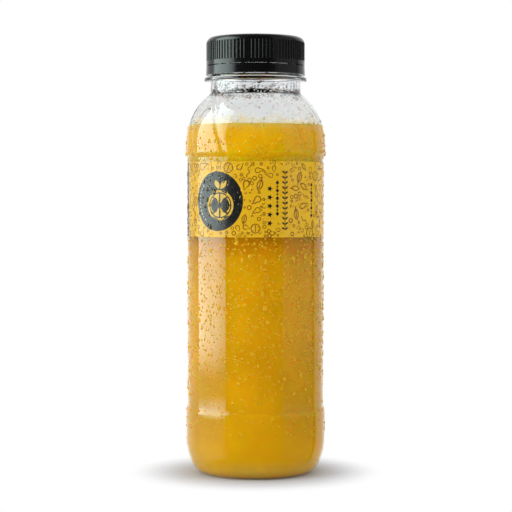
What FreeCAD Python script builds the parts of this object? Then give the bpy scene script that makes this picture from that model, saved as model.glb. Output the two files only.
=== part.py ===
"""Bottle of fruit juice: a clear blow-moulded bottle, the juice in it, a wrap-round label and a screw cap.

The bottle is one hollow solid. It stands on a flat ring round a pushed-up base. A heel, a straight
label panel and a shoulder band follow, joined by small smooth steps. The domed shoulder carries
shallow swirled flutes, and above it are the neck, the support ring and the finish that the cap
closes. The cap and its tamper band are one moulding, held together by small bridges across a slit.

Frame: millimetres, +Z up, origin at the middle of the foot, on the surface that the bottle stands on.
The front of the label faces -Y.
"""
import FreeCAD
import Part
import math
import os

# --- bottle body -----------------------------------------------------------------------------
PANEL_RADIUS = 28.05        # outside radius of the straight wall under the label
BAND_STAND_OUT = 0.70       # how far the heel and the shoulder band stand proud of that wall
WALL = 0.50                 # wall of the blown body
FOOT_FLAT = 1.5             # width of the ring that the bottle stands on
HEEL_CORNER = 7.0           # radius of the corner from the foot into the heel
HEEL_SWEEP = 27.0           # radius of the long curve above that corner
HEEL_HEIGHT = 15.0          # where the heel's curve ends and its straight part begins
HEEL_STRAIGHT = 8.4         # height of the straight part of the heel
PUSH_UP_HEIGHT = 7.0        # rise of the base's middle
PUSH_UP_CORNER = 2.5        # radius between the foot and the pushed-up base
BEAD_GROOVE_DEPTH = 0.15    # hollow under the bead at the top of the heel
BEAD_GROOVE_RISE = 1.3      # height of each side of that hollow
STEP_RISE = 2.4             # height of each smooth step between the panel and the bands
PANEL_HEIGHT = 101.8        # straight wall between the two steps
BAND_HEIGHT = 4.4           # straight shoulder band

# --- shoulder and its flutes --------------------------------------------------------------------
SHOULDER_ARC = 24.5         # radius of the domed shoulder
FLUTE_COUNT = 10
FLUTE_WIDTH = 3.4
FLUTE_DEPTH = 0.52          # at the middle of its length
FLUTE_PHASE_DEG = 11.0      # where the foot of one flute lies, from the front towards +X
FLUTE_TWIST_DEG = 27.0      # how far a flute turns between its two ends
FLUTE_TWIST_SHARE = 0.52    # share of that turn made below its middle point
FLUTE_MIDDLE_SHARE = 0.50   # how far up the shoulder's arc the middle point lies
FLUTE_TOP_SHARE = 0.92      # how far up the arc the flute's top lies
FLUTE_FOOT_DROP = 0.4       # from the top of the panel down to the flute's foot
FLUTE_RUN_OUT = 0.03        # the pressing tool stands clear of the wall by this much at both ends

# --- neck and finish -----------------------------------------------------------------------------
BORE_RADIUS = 16.4          # the way in, through the neck and the finish
NECK_WALL = 2.2             # wall of the neck under the support ring
NECK_FILLET = 2.5           # outside curve from the shoulder into the neck
NECK_HEIGHT = 3.85           # straight neck under the support ring
BORE_FILLET = 4.0           # inside curve from the shoulder into the bore
RING_STAND_OUT = 2.6        # support ring beyond the neck
RING_THICKNESS = 1.6
RING_EDGE = 0.45            # rounding of its rim
FINISH_WALL = 1.2           # wall that the cap goes over
FINISH_HEIGHT = 15.35        # from the top of the support ring to the lip
LIP_EDGE = 0.5              # rounding of the lip
LOCK_BEAD_STAND_OUT = 1.0   # ring that the tamper band snaps under
LOCK_BEAD_HEIGHT = 1.3

# --- juice and label ------------------------------------------------------------------------------
LEVEL_ABOVE_BAND = 6.6      # juice level over the spring of the shoulder's arc
LABEL_THICKNESS = 0.12
LABEL_HEIGHT = 30.5
LABEL_TOP_GAP = 1.6         # bare wall between the label and the shoulder step
LABEL_LAP_DEG = 14.0        # glued lap at the back

# --- cap ------------------------------------------------------------------------------------------
CAP_TOP = 1.4               # thickness of the cap's top plate
CAP_SKIRT = 1.45            # wall of the skirt, ribs included
CAP_THREAD_SPACE = 1.3      # room for the thread between the finish and the skirt
CAP_CORNER = 2.8            # rounding of the cap's top edge
RIB_COUNT = 84
RIB_DEPTH = 0.35
RIB_SHARE = 0.5             # share of the pitch taken by a rib
RIB_TOP_GAP = 2.25          # smooth rim above the ribs
COLLAR_HEIGHT = 1.8         # smooth collar between the ribs and the slit
SLIT = 0.35
BRIDGE_COUNT = 12
BRIDGE_WIDTH = 1.0
BAND_FOOT_GAP = 1.05        # from the support ring to the tamper band
BAND_DRAFT = 0.15           # the band widens by this much towards its foot
TAMPER_BAND_HEIGHT = 3.6
CATCH_RISE = 0.25           # from the band's foot to the catch, the lip inside it
CATCH_HEIGHT = 0.8
CATCH_GAP = 0.25            # from the catch up to the lock bead
PLUG_LENGTH = 3.0           # sealing plug inside the bore
PLUG_WALL = 1.0
SEAL_CLEARANCE = 0.1

# --- heights and radii that follow from the above ---------------------------------------------------
BAND_RADIUS = PANEL_RADIUS + BAND_STAND_OUT
GROOVE_Z = HEEL_HEIGHT + HEEL_STRAIGHT
HEEL_TOP_Z = GROOVE_Z + 2 * BEAD_GROOVE_RISE
PANEL_Z = HEEL_TOP_Z + STEP_RISE
PANEL_TOP_Z = PANEL_Z + PANEL_HEIGHT
BAND_Z = PANEL_TOP_Z + STEP_RISE
SPRING_Z = BAND_Z + BAND_HEIGHT
SHOULDER_CENTRE_R = BAND_RADIUS - SHOULDER_ARC
LEVEL_Z = SPRING_Z + LEVEL_ABOVE_BAND
NECK_RADIUS = BORE_RADIUS + NECK_WALL
FINISH_RADIUS = BORE_RADIUS + FINISH_WALL

AXIS = FreeCAD.Vector(0, 0, 1)
ORIGIN = FreeCAD.Vector(0, 0, 0)


def at(radius, height):
    """A point of a turned outline."""
    return FreeCAD.Vector(radius, 0, height)


def polar(radius, angle_deg, height):
    """A point at an angle from the front (-Y) towards +X."""
    angle = math.radians(angle_deg)
    return FreeCAD.Vector(radius * math.sin(angle), -radius * math.cos(angle), height)


def fillet_height(centre_z, arc_radius, across, fillet):
    """Height of the centre of a fillet that touches an arc from outside, `across` beyond the arc's centre."""
    return centre_z + math.sqrt((arc_radius + fillet) ** 2 - across ** 2)


NECK_Z = fillet_height(SPRING_Z, SHOULDER_ARC, NECK_RADIUS + NECK_FILLET - SHOULDER_CENTRE_R, NECK_FILLET)
RING_Z = NECK_Z + NECK_HEIGHT
RING_TOP_Z = RING_Z + RING_THICKNESS
LIP_Z = RING_TOP_Z + FINISH_HEIGHT
BAND_FOOT_Z = RING_TOP_Z + BAND_FOOT_GAP
CATCH_TOP_Z = BAND_FOOT_Z + CATCH_RISE + CATCH_HEIGHT
LOCK_BEAD_Z = CATCH_TOP_Z + CATCH_GAP


class Outline:
    """A chain of lines and arcs in the XZ plane, to be turned round the axis."""

    def __init__(self, start):
        self.here = start
        self.edges = []

    def line(self, radius, height):
        end = at(radius, height)
        if self.here.distanceToPoint(end) > 1e-7:
            self.edges.append(Part.makeLine(self.here, end))
        self.here = end
        return self

    def arc(self, centre, start_deg, end_deg):
        """Goes on round a centre, from one direction to another. The radius is the distance to it."""
        radius = self.here.distanceToPoint(centre)

        def on(angle_deg):
            angle = math.radians(angle_deg)
            return centre + FreeCAD.Vector(radius * math.cos(angle), 0, radius * math.sin(angle))

        end = on(end_deg)
        self.edges.append(Part.Arc(self.here, on((start_deg + end_deg) / 2), end).toShape())
        self.here = end
        return self

    def step(self, run, rise, inset):
        """A smooth S of two equal arcs: `run` outwards over `rise` upwards, on a wall set in by `inset`."""
        turn = 2 * math.atan2(abs(run), rise)
        radius = rise / (2 * math.sin(turn))
        turn_deg = math.degrees(turn)
        if run > 0:     # hollow first, then round
            first = radius + inset
            self.arc(self.here + at(first, 0), 180, 180 - turn_deg)
            second = radius - inset
            self.arc(self.here - at(second * math.cos(turn), -second * math.sin(turn)), -turn_deg, 0)
        else:           # round first, then hollow
            first = radius - inset
            self.arc(self.here - at(first, 0), 0, turn_deg)
            second = radius + inset
            self.arc(self.here + at(second * math.cos(turn), second * math.sin(turn)), 180 + turn_deg, 180)
        return self

    def turned(self):
        """Closes the outline along the axis and turns it into a solid."""
        first, last = self.edges[0].Vertexes[0].Point, self.here
        self.line(0, last.z)
        self.line(0, first.z)
        return Part.Face(Part.Wire(self.edges)).revolve(ORIGIN, AXIS, 360)


def direction_deg(start, end):
    return math.degrees(math.atan2(end.z - start.z, end.x - start.x))


def body_outline(inset, neck_radius, neck_fillet):
    """The bottle's outline from the axis at the base up into the neck, or the cavity's, set in by a wall."""
    # The heel's corner touches the surface below and the heel's long curve above.
    sweep_centre = at(BAND_RADIUS - HEEL_SWEEP, HEEL_HEIGHT)
    fall = HEEL_HEIGHT - HEEL_CORNER
    corner_centre = at(sweep_centre.x + math.sqrt((HEEL_SWEEP - HEEL_CORNER) ** 2 - fall ** 2), HEEL_CORNER)
    heel_deg = direction_deg(sweep_centre, corner_centre)
    # The dome of the base touches the corner inside the foot.
    foot_inner = corner_centre.x - FOOT_FLAT
    rise = PUSH_UP_HEIGHT - PUSH_UP_CORNER
    dome = (foot_inner ** 2 + rise ** 2 - PUSH_UP_CORNER ** 2) / (2 * (rise + PUSH_UP_CORNER))
    dome_centre = at(0, PUSH_UP_HEIGHT - dome)
    inner_corner = at(foot_inner, PUSH_UP_CORNER)
    dome_deg = direction_deg(dome_centre, inner_corner)
    # The shoulder's arc runs up to the fillet of the neck.
    shoulder_centre = at(SHOULDER_CENTRE_R, SPRING_Z)
    neck_centre = at(neck_radius + neck_fillet, 0)
    neck_centre.z = fillet_height(
        SPRING_Z, SHOULDER_ARC - inset, neck_centre.x - SHOULDER_CENTRE_R, neck_fillet)
    neck_deg = direction_deg(shoulder_centre, neck_centre)

    outline = Outline(at(0, PUSH_UP_HEIGHT + inset))
    outline.arc(dome_centre, 90, dome_deg)
    outline.arc(inner_corner, dome_deg + 180, 270)
    outline.line(corner_centre.x, inset)
    outline.arc(corner_centre, -90, heel_deg)
    outline.arc(sweep_centre, heel_deg, 0)
    outline.line(BAND_RADIUS - inset, GROOVE_Z)
    outline.step(-BEAD_GROOVE_DEPTH, BEAD_GROOVE_RISE, inset)
    outline.step(BEAD_GROOVE_DEPTH, BEAD_GROOVE_RISE, inset)
    outline.step(-BAND_STAND_OUT, STEP_RISE, inset)
    outline.line(PANEL_RADIUS - inset, PANEL_TOP_Z)
    outline.step(BAND_STAND_OUT, STEP_RISE, inset)
    outline.line(BAND_RADIUS - inset, SPRING_Z)
    outline.arc(shoulder_centre, 0, neck_deg)
    outline.arc(neck_centre, neck_deg + 180, 180)
    return outline


def flute_tools(wall):
    """Round tools that press the swirled flutes into the shoulder, each a piece of a torus.

    With a wall they are that much thicker, and press the same flutes into the cavity's outline.
    """
    ball = ((FLUTE_WIDTH / 2) ** 2 + FLUTE_DEPTH ** 2) / (2 * FLUTE_DEPTH)
    neck_deg = math.degrees(math.acos((NECK_RADIUS + NECK_FILLET - SHOULDER_CENTRE_R)
                                      / (SHOULDER_ARC + NECK_FILLET)))

    def on_shoulder(share, turned_deg, depth):
        """The tool's middle over a point that is some share of the way up the shoulder's arc."""
        angle = math.radians(neck_deg * share)
        reach = SHOULDER_ARC + ball - depth
        return polar(SHOULDER_CENTRE_R + reach * math.cos(angle), turned_deg, SPRING_Z + reach * math.sin(angle))

    foot = polar(PANEL_RADIUS + ball + FLUTE_RUN_OUT, FLUTE_PHASE_DEG, PANEL_TOP_Z - FLUTE_FOOT_DROP)
    middle_deg = FLUTE_PHASE_DEG - FLUTE_TWIST_DEG * FLUTE_TWIST_SHARE
    middle = on_shoulder(FLUTE_MIDDLE_SHARE, middle_deg, FLUTE_DEPTH)
    top = on_shoulder(FLUTE_TOP_SHARE, FLUTE_PHASE_DEG - FLUTE_TWIST_DEG, -FLUTE_RUN_OUT)
    path = Part.Arc(foot, middle, top).toShape()
    circle = path.Curve
    section = Part.Face(Part.Wire(Part.Circle(
        foot, path.tangentAt(path.FirstParameter), ball + wall).toShape()))
    sweep_deg = math.degrees(path.LastParameter - path.FirstParameter)
    tool = section.revolve(circle.Center, circle.Axis, sweep_deg)
    pitch_deg = 360 / FLUTE_COUNT
    return [tool.rotated(ORIGIN, AXIS, pitch_deg * n) for n in range(FLUTE_COUNT)]


def make_cavity():
    """The space inside the bottle, from the base to past the lip."""
    outline = body_outline(WALL, BORE_RADIUS, BORE_FILLET)
    outline.line(BORE_RADIUS, LIP_Z + CAP_TOP)
    return outline.turned().cut(flute_tools(WALL))


def make_bottle(cavity):
    outline = body_outline(0, NECK_RADIUS, NECK_FILLET)
    ring_radius = NECK_RADIUS + RING_STAND_OUT
    bead_radius = FINISH_RADIUS + LOCK_BEAD_STAND_OUT
    outline.line(NECK_RADIUS, RING_Z)
    outline.line(ring_radius - RING_EDGE, RING_Z)
    outline.arc(at(ring_radius - RING_EDGE, RING_Z + RING_EDGE), -90, 0)
    outline.line(ring_radius, RING_TOP_Z - RING_EDGE)
    outline.arc(at(ring_radius - RING_EDGE, RING_TOP_Z - RING_EDGE), 0, 90)
    outline.line(FINISH_RADIUS, RING_TOP_Z)
    outline.line(FINISH_RADIUS, LOCK_BEAD_Z)
    outline.line(bead_radius, LOCK_BEAD_Z)
    outline.line(bead_radius, LOCK_BEAD_Z + LOCK_BEAD_HEIGHT - LOCK_BEAD_STAND_OUT / 2)
    outline.line(FINISH_RADIUS, LOCK_BEAD_Z + LOCK_BEAD_HEIGHT + LOCK_BEAD_STAND_OUT / 2)
    outline.line(FINISH_RADIUS, LIP_Z - LIP_EDGE)
    outline.arc(at(FINISH_RADIUS - LIP_EDGE, LIP_Z - LIP_EDGE), 0, 90)
    return outline.turned().cut(flute_tools(0)).cut(cavity)


def make_juice(cavity):
    """The juice fills the cavity up to its level."""
    half_side = 2 * BAND_RADIUS
    below = Part.makeBox(2 * half_side, 2 * half_side, LEVEL_Z, FreeCAD.Vector(-half_side, -half_side, 0))
    return cavity.common(below)


def tube(inner, outer, low, high):
    ring = Part.makeCylinder(outer, high - low, at(0, low))
    return ring.cut(Part.makeCylinder(inner, high - low, at(0, low)))


def make_label():
    """A film round the panel, with its lap at the back."""
    high = PANEL_TOP_Z - LABEL_TOP_GAP
    low = high - LABEL_HEIGHT
    outer = PANEL_RADIUS + LABEL_THICKNESS
    film = tube(PANEL_RADIUS, outer, low, high)
    section = Part.Face(Part.Wire([
        Part.makeLine(at(outer, low), at(outer + LABEL_THICKNESS, low)),
        Part.makeLine(at(outer + LABEL_THICKNESS, low), at(outer + LABEL_THICKNESS, high)),
        Part.makeLine(at(outer + LABEL_THICKNESS, high), at(outer, high)),
        Part.makeLine(at(outer, high), at(outer, low))]))
    lap = section.revolve(ORIGIN, AXIS, LABEL_LAP_DEG)
    lap.rotate(ORIGIN, AXIS, 90 - LABEL_LAP_DEG / 2)
    return film.fuse(lap).removeSplitter()


def rib_outline(core, crest):
    """The closed outline of the ribbed skirt, seen from above: round ribs on a round core."""
    pitch = 2 * math.pi / RIB_COUNT
    half_rib = pitch * RIB_SHARE / 2

    def on(radius, angle):
        return FreeCAD.Vector(radius * math.cos(angle), radius * math.sin(angle), 0)

    edges = []
    for n in range(RIB_COUNT):
        middle = n * pitch
        rib_start, rib_end = on(core, middle - half_rib), on(core, middle + half_rib)
        next_start = on(core, middle + pitch - half_rib)
        edges.append(Part.Arc(rib_start, on(crest, middle), rib_end).toShape())
        edges.append(Part.Arc(rib_end, on(core, middle + pitch / 2), next_start).toShape())
    return Part.Wire(edges)


def make_cap():
    """The screw cap with its tamper band, in one moulding."""
    inner = FINISH_RADIUS + CAP_THREAD_SPACE
    outer = inner + CAP_SKIRT
    slit_z = BAND_FOOT_Z + TAMPER_BAND_HEIGHT
    top_z = LIP_Z + CAP_TOP
    rib_low, rib_high = slit_z + SLIT + COLLAR_HEIGHT, top_z - RIB_TOP_GAP

    shell = Outline(at(0, BAND_FOOT_Z))
    shell.line(outer + BAND_DRAFT, BAND_FOOT_Z)
    shell.line(outer, slit_z)
    shell.line(outer, top_z - CAP_CORNER)
    shell.arc(at(outer - CAP_CORNER, top_z - CAP_CORNER), 0, 90)
    cap = shell.turned()

    # The valleys between the ribs are cut from the skirt in one piece.
    clear = Part.Face(Part.Wire(Part.Circle(ORIGIN, AXIS, outer + CAP_SKIRT).toShape()))
    valleys = clear.cut(Part.Face(rib_outline(outer - RIB_DEPTH, outer)))
    valleys.translate(at(0, rib_low))
    cap = cap.cut(valleys.extrude(at(0, rib_high - rib_low)))

    # Inside: the room for the finish, the plug in the bore and the catch under the lock bead.
    cap = cap.cut(Part.makeCylinder(inner, LIP_Z - BAND_FOOT_Z, at(0, BAND_FOOT_Z)))
    plug_outer = BORE_RADIUS - SEAL_CLEARANCE
    cap = cap.fuse(tube(plug_outer - PLUG_WALL, plug_outer, LIP_Z - PLUG_LENGTH, LIP_Z))
    catch_inner = FINISH_RADIUS + LOCK_BEAD_STAND_OUT / 2
    cap = cap.fuse(tube(catch_inner, inner, CATCH_TOP_Z - CATCH_HEIGHT, CATCH_TOP_Z))

    # The slit leaves bridges between the cap and its band.
    slit = tube(inner - CAP_SKIRT, outer + CAP_SKIRT, slit_z, slit_z + SLIT)
    bridge = Part.makeBox(2 * CAP_SKIRT + CAP_SKIRT, BRIDGE_WIDTH, SLIT,
                          FreeCAD.Vector(inner - CAP_SKIRT, -BRIDGE_WIDTH / 2, slit_z))
    bridges = [bridge.rotated(ORIGIN, AXIS, 360 / BRIDGE_COUNT * (n + 0.5)) for n in range(BRIDGE_COUNT)]
    return cap.cut(slit.cut(bridges)).removeSplitter()


def main():
    os.makedirs("parts", exist_ok=True)
    cavity = make_cavity()
    parts = {
        "bottle": make_bottle(cavity),
        "juice": make_juice(cavity),
        "label": make_label(),
        "cap": make_cap(),
    }
    for name, shape in parts.items():
        shape.exportStep(f"parts/{name}.step")
        print(f"{name}: {len(shape.Solids)} solid, {shape.Volume / 1000:.2f} ml, valid {shape.isValid()}, "
              f"z {shape.BoundBox.ZMin:.2f} to {shape.BoundBox.ZMax:.2f}")


if __name__ == "__main__":
    main()
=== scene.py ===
# %% [markdown]
# # A sealed bottle of fruit juice
#
# This notebook models a cold bottle of cloudy yellow juice, ready to drink. The bottle is blown from
# clear plastic, with a domed shoulder that has swirled flutes pressed into it. A printed film is
# wrapped round it, a black screw cap shuts it, and water has condensed on the outside.
#
# The sizes come from the frame: four solids called bottle, juice, label and cap. The cap keeps its own
# mesh and gets a better material. The other three are replaced by finer pieces that lie in the same
# space, because clear plastic needs smooth walls and the drops need a wall to sit on.

# %% Open the frame
import bpy
import math
import random
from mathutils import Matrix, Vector


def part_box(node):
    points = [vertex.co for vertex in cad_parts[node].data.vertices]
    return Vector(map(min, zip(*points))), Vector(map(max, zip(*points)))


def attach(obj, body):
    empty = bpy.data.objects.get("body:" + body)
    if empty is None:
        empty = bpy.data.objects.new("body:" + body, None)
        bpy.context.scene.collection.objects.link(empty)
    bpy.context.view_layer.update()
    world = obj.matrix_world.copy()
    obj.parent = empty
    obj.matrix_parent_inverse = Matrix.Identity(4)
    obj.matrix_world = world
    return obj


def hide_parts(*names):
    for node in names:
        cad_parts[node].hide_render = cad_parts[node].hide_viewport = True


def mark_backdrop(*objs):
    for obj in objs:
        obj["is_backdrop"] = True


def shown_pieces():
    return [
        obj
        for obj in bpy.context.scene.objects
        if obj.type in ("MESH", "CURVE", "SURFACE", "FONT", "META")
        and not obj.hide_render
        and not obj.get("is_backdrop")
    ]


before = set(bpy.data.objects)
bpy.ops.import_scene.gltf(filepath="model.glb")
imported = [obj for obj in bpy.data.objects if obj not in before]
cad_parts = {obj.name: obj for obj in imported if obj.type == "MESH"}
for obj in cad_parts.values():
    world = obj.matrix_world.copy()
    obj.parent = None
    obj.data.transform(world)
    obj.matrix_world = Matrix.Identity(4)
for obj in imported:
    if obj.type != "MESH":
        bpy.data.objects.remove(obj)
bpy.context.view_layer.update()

# %% [markdown]
# ## Working in Blender's edit mode from a script
#
# An operator acts on everything that is selected, so each step starts with nothing selected. The
# helpers below do what the hand does most often: pick a piece, name the piece that was just added, and
# turn an outline into a solid. Sizes are written in millimetres and multiplied by MM, because Blender
# works in metres.

# %% Helpers for picking and naming pieces
MM = 0.001


def nothing_selected():
    if bpy.context.object and bpy.context.object.mode != "OBJECT":
        bpy.ops.object.mode_set(mode="OBJECT")
    bpy.ops.object.select_all(action="DESELECT")


def pick(*pieces):
    """Selects these pieces only. The first one is the active one."""
    nothing_selected()
    for piece in pieces:
        piece.select_set(True)
    bpy.context.view_layer.objects.active = pieces[0]


def name_newest(name):
    piece = bpy.context.object
    piece.name = piece.data.name = name
    return piece


def enter_edit():
    """Enters edit mode with all of the piece selected."""
    bpy.ops.object.mode_set(mode="EDIT")
    bpy.ops.mesh.select_all(action="SELECT")


def leave_edit():
    bpy.ops.object.mode_set(mode="OBJECT")


def merge_doubles():
    """Merges vertices that lie on top of each other."""
    bpy.ops.mesh.select_all(action="SELECT")
    bpy.ops.mesh.remove_doubles(threshold=MM * 0.002)


def face_outwards():
    bpy.ops.mesh.select_all(action="SELECT")
    bpy.ops.mesh.normals_make_consistent(inside=False)


def settle(piece):
    """Puts a finished piece's place, turn and size into its mesh."""
    pick(piece)
    bpy.ops.object.transform_apply(location=True, rotation=True, scale=True)


def smooth(piece, angle_deg=40):
    pick(piece)
    bpy.ops.object.shade_smooth_by_angle(angle=math.radians(angle_deg))


def count_triangles(piece):
    piece.data.calc_loop_triangles()
    return len(piece.data.loop_triangles)


# %% [markdown]
# ## Turning an outline
#
# A bottle is round, so half of its section says everything. The outline is drawn as a chain of short
# edges, by extruding one vertex from point to point, and the Spin operator sweeps it round the axis. A
# screw modifier would do the same, but Spin leaves a plain mesh at once. The points on the axis then
# lie on top of each other, so they are merged before the faces are turned outwards.

# %% Helpers for turned pieces
SEGMENTS = 240      # faces round the bottle: fine enough for smooth edges against a white wall


def draw_line(points, name):
    """Draws a chain of edges through these points, given in millimetres, from one extruded vertex."""
    nothing_selected()
    bpy.ops.mesh.primitive_plane_add(size=MM, location=Vector(points[0]) * MM)
    line = name_newest(name)
    settle(line)
    enter_edit()
    bpy.ops.mesh.merge(type="CENTER")
    for here, there in zip(points, points[1:]):
        step = (Vector(there) - Vector(here)) * MM
        bpy.ops.mesh.extrude_vertices_move(TRANSFORM_OT_translate={"value": step})
    leave_edit()
    return line


def turn(outline, name, closed=False):
    """Turns an outline of (radius, height) points in millimetres into a solid piece."""
    points = [(radius, 0, height) for radius, height in outline]
    if closed:
        points.append(points[0])
    piece = draw_line(points, name)
    enter_edit()
    merge_doubles()
    bpy.ops.mesh.select_all(action="SELECT")
    bpy.ops.mesh.spin(steps=SEGMENTS, angle=2 * math.pi, center=(0, 0, 0), axis=(0, 0, 1))
    merge_doubles()
    face_outwards()
    leave_edit()
    print(name, "has", count_triangles(piece), "triangles")
    return piece


def arc(centre, radius, start_deg, end_deg, step=1.0):
    """Points of an arc about `step` millimetres apart, from one direction to another."""
    length = abs(math.radians(end_deg - start_deg)) * radius
    count = max(2, round(length / step), round(abs(end_deg - start_deg) / 12))
    turns = [math.radians(start_deg + (end_deg - start_deg) * n / count) for n in range(count + 1)]
    return [(centre[0] + radius * math.cos(a), centre[1] + radius * math.sin(a)) for a in turns]


# %% [markdown]
# ## The bottle's outline
#
# A blown bottle has no sharp edge below its neck. From the foot up it has a corner and a long curve
# into the heel, an S-shaped step in to the wall under the label, the same step out to the shoulder
# band, and a dome that runs into the neck. The cavity has the same outline, set in by the wall. So one
# function draws both, and the juice as well: it is set in a little less than the cavity, so that no air
# shows between the juice and the plastic.

# %% Sizes of the bottle
PANEL_RADIUS, BAND_RADIUS = 28.05, 28.75            # wall under the label, heel and shoulder band
WALL = 0.5
FOOT_FLAT, PUSH_UP, PUSH_UP_CORNER = 1.5, 7.0, 2.5  # ring that it stands on, pushed-up base
HEEL_CORNER, HEEL_SWEEP, HEEL_HEIGHT = 7.0, 27.0, 15.0
HEEL_TOP, PANEL_HIGH, STEP_RISE = 26.0, 130.2, 2.4
STEP_OUT = 0.7
BAND_LOW, BAND_ROW, SHOULDER_SPRING = 132.6, 0.88, 137.0
SHOULDER_ARC = 24.5
NECK_RADIUS, BORE_RADIUS = 18.6, 16.4
NECK_FILLET, BORE_FILLET = 2.5, 4.0
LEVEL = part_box("juice")[1].z / MM
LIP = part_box("bottle")[1].z / MM
LABEL_LOW, LABEL_HIGH = (corner.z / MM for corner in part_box("label"))
print(f"juice up to {LEVEL:.1f} mm, label from {LABEL_LOW:.1f} to {LABEL_HIGH:.1f} mm, lip at {LIP:.1f} mm")


# %% The outline of the bottle, its cavity and its juice
def s_step(radius, height, run, rise, inset):
    """A smooth S of two equal arcs, `run` outwards over `rise` upwards, set in by `inset`."""
    bend_deg = math.degrees(2 * math.atan2(abs(run), rise))
    bend = math.radians(bend_deg)
    round_off = rise / (2 * math.sin(bend))
    middle = (radius + run / 2, height + rise / 2)
    if run > 0:
        first = arc((radius + round_off, height), round_off + inset, 180, 180 - bend_deg, 0.35)
        centre = (middle[0] - round_off * math.cos(bend), middle[1] + round_off * math.sin(bend))
        return first + arc(centre, round_off - inset, -bend_deg, 0, 0.35)[1:]
    first = arc((radius - round_off, height), round_off - inset, 0, bend_deg, 0.35)
    centre = (middle[0] + round_off * math.cos(bend), middle[1] + round_off * math.sin(bend))
    return first + arc(centre, round_off + inset, 180 + bend_deg, 180, 0.35)[1:]


def direction_deg(start, end):
    return math.degrees(math.atan2(end[1] - start[1], end[0] - start[0]))


def body_outline(inset, neck_radius=NECK_RADIUS, neck_fillet=NECK_FILLET):
    """The body's outline from the middle of the base up into the neck, set in by `inset`."""
    sweep, fall = (BAND_RADIUS - HEEL_SWEEP, HEEL_HEIGHT), HEEL_HEIGHT - HEEL_CORNER
    corner = (sweep[0] + math.sqrt((HEEL_SWEEP - HEEL_CORNER) ** 2 - fall ** 2), HEEL_CORNER)
    heel_deg = direction_deg(sweep, corner)
    foot_inner, rise = corner[0] - FOOT_FLAT, PUSH_UP - PUSH_UP_CORNER
    dome = (foot_inner ** 2 + rise ** 2 - PUSH_UP_CORNER ** 2) / (2 * (rise + PUSH_UP_CORNER))
    inner_corner, dome_centre = (foot_inner, PUSH_UP_CORNER), (0, PUSH_UP - dome)
    dome_deg = direction_deg(dome_centre, inner_corner)
    shoulder = (BAND_RADIUS - SHOULDER_ARC, SHOULDER_SPRING)
    across = neck_radius + neck_fillet - shoulder[0]
    neck = (neck_radius + neck_fillet,
            SHOULDER_SPRING + math.sqrt((SHOULDER_ARC - inset + neck_fillet) ** 2 - across ** 2))
    neck_deg = direction_deg(shoulder, neck)
    points = arc(dome_centre, dome + inset, 90, dome_deg, 1.5)
    points += arc(inner_corner, PUSH_UP_CORNER - inset, dome_deg + 180, 270, 0.6)
    points += arc(corner, HEEL_CORNER - inset, -90, heel_deg, 0.8)
    points += arc(sweep, HEEL_SWEEP - inset, heel_deg, 0, 1.2)[1:]
    points += [(BAND_RADIUS - inset, z) for z in (18.5, 22.0)]
    points += s_step(BAND_RADIUS, HEEL_TOP, -STEP_OUT, STEP_RISE, inset)
    points += [(PANEL_RADIUS - inset, z) for z in [*range(36, 128, 8), 129.0]]
    points += s_step(PANEL_RADIUS, PANEL_HIGH, STEP_OUT, STEP_RISE, inset)
    points += [(BAND_RADIUS - inset, BAND_LOW + n * BAND_ROW) for n in range(1, 5)]
    points += arc(shoulder, SHOULDER_ARC - inset, 0, neck_deg, 0.7)
    points += arc(neck, neck_fillet, neck_deg + 180, 180, 0.5)[1:]
    return points


print("the body's outline has", len(body_outline(0)), "points")

# %% [markdown]
# ## The flutes of the shoulder
#
# Ten shallow flutes run down the shoulder and turn a little as they go, like the folds of a twisted
# cloth. In the mould they are ribs, so on the bottle they are hollows, and the inside follows them. A
# boolean cut would leave hard edges that show in clear plastic. Moving the vertices inwards by a
# smooth amount keeps the wall's thickness and the mesh's even faces.

# %% Press the flutes into a turned piece
FLUTES = 10
FLUTE_PHASE = 11.0          # degrees from the front to the foot of one flute
FLUTE_HALF_WIDTH = 2.1
FLUTE_SLANT = 0.93          # a flute lies slantwise, so it is narrower than it looks along the wall
FLUTE_ROUND = 1.2           # more than 1 makes the hollow narrower at its bottom
# Two graphs over the height: degrees that a flute has turned, and its depth in millimetres.
FLUTE_TURN = [(129, 0.0), (137, 5.0), (141, 8.0), (145, 11.0), (149, 14.6), (154, 20.5), (158, 27.5)]
FLUTE_DEEP = [(129.4, 0.0), (131.5, 0.27), (134, 0.28), (137, 0.34), (142, 0.5), (146, 0.54), (150, 0.48),
              (153, 0.34), (155.5, 0.16), (157.4, 0.0)]
NECK_INSIDE = 16.8          # what lies nearer to the axis than this isn't the shoulder


def read_off(table, at):
    """Reads a value between the entries of a table, as from a graph."""
    for (low, first), (high, second) in zip(table, table[1:]):
        if low <= at <= high:
            return first + (second - first) * (at - low) / (high - low)
    return table[0][1] if at < table[0][0] else table[-1][1]


def press_flutes(piece):
    moved = 0
    for vertex in piece.data.vertices:
        radius, height = math.hypot(vertex.co.x, vertex.co.y) / MM, vertex.co.z / MM
        if not FLUTE_DEEP[0][0] < height < FLUTE_DEEP[-1][0] or radius < NECK_INSIDE:
            continue
        angle = math.degrees(math.atan2(vertex.co.x, -vertex.co.y))
        away = (angle - FLUTE_PHASE + read_off(FLUTE_TURN, height) + 180 / FLUTES) % (360 / FLUTES)
        across = math.radians(away - 180 / FLUTES) * radius * FLUTE_SLANT
        if abs(across) >= FLUTE_HALF_WIDTH:
            continue
        hollow = (0.5 + 0.5 * math.cos(math.pi * across / FLUTE_HALF_WIDTH)) ** FLUTE_ROUND
        push = read_off(FLUTE_DEEP, height) * hollow
        # Inwards is straight to the axis on the band, and more and more downwards up the dome.
        lean = max(0.0, height - SHOULDER_SPRING) / SHOULDER_ARC
        inwards = Vector((-vertex.co.x, -vertex.co.y, 0)).normalized() * math.sqrt(max(0, 1 - lean ** 2))
        inwards.z = -lean
        vertex.co += inwards * push * MM
        moved += 1
    piece.data.update()
    print("flutes moved", moved, "vertices of", piece.name)


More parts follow.
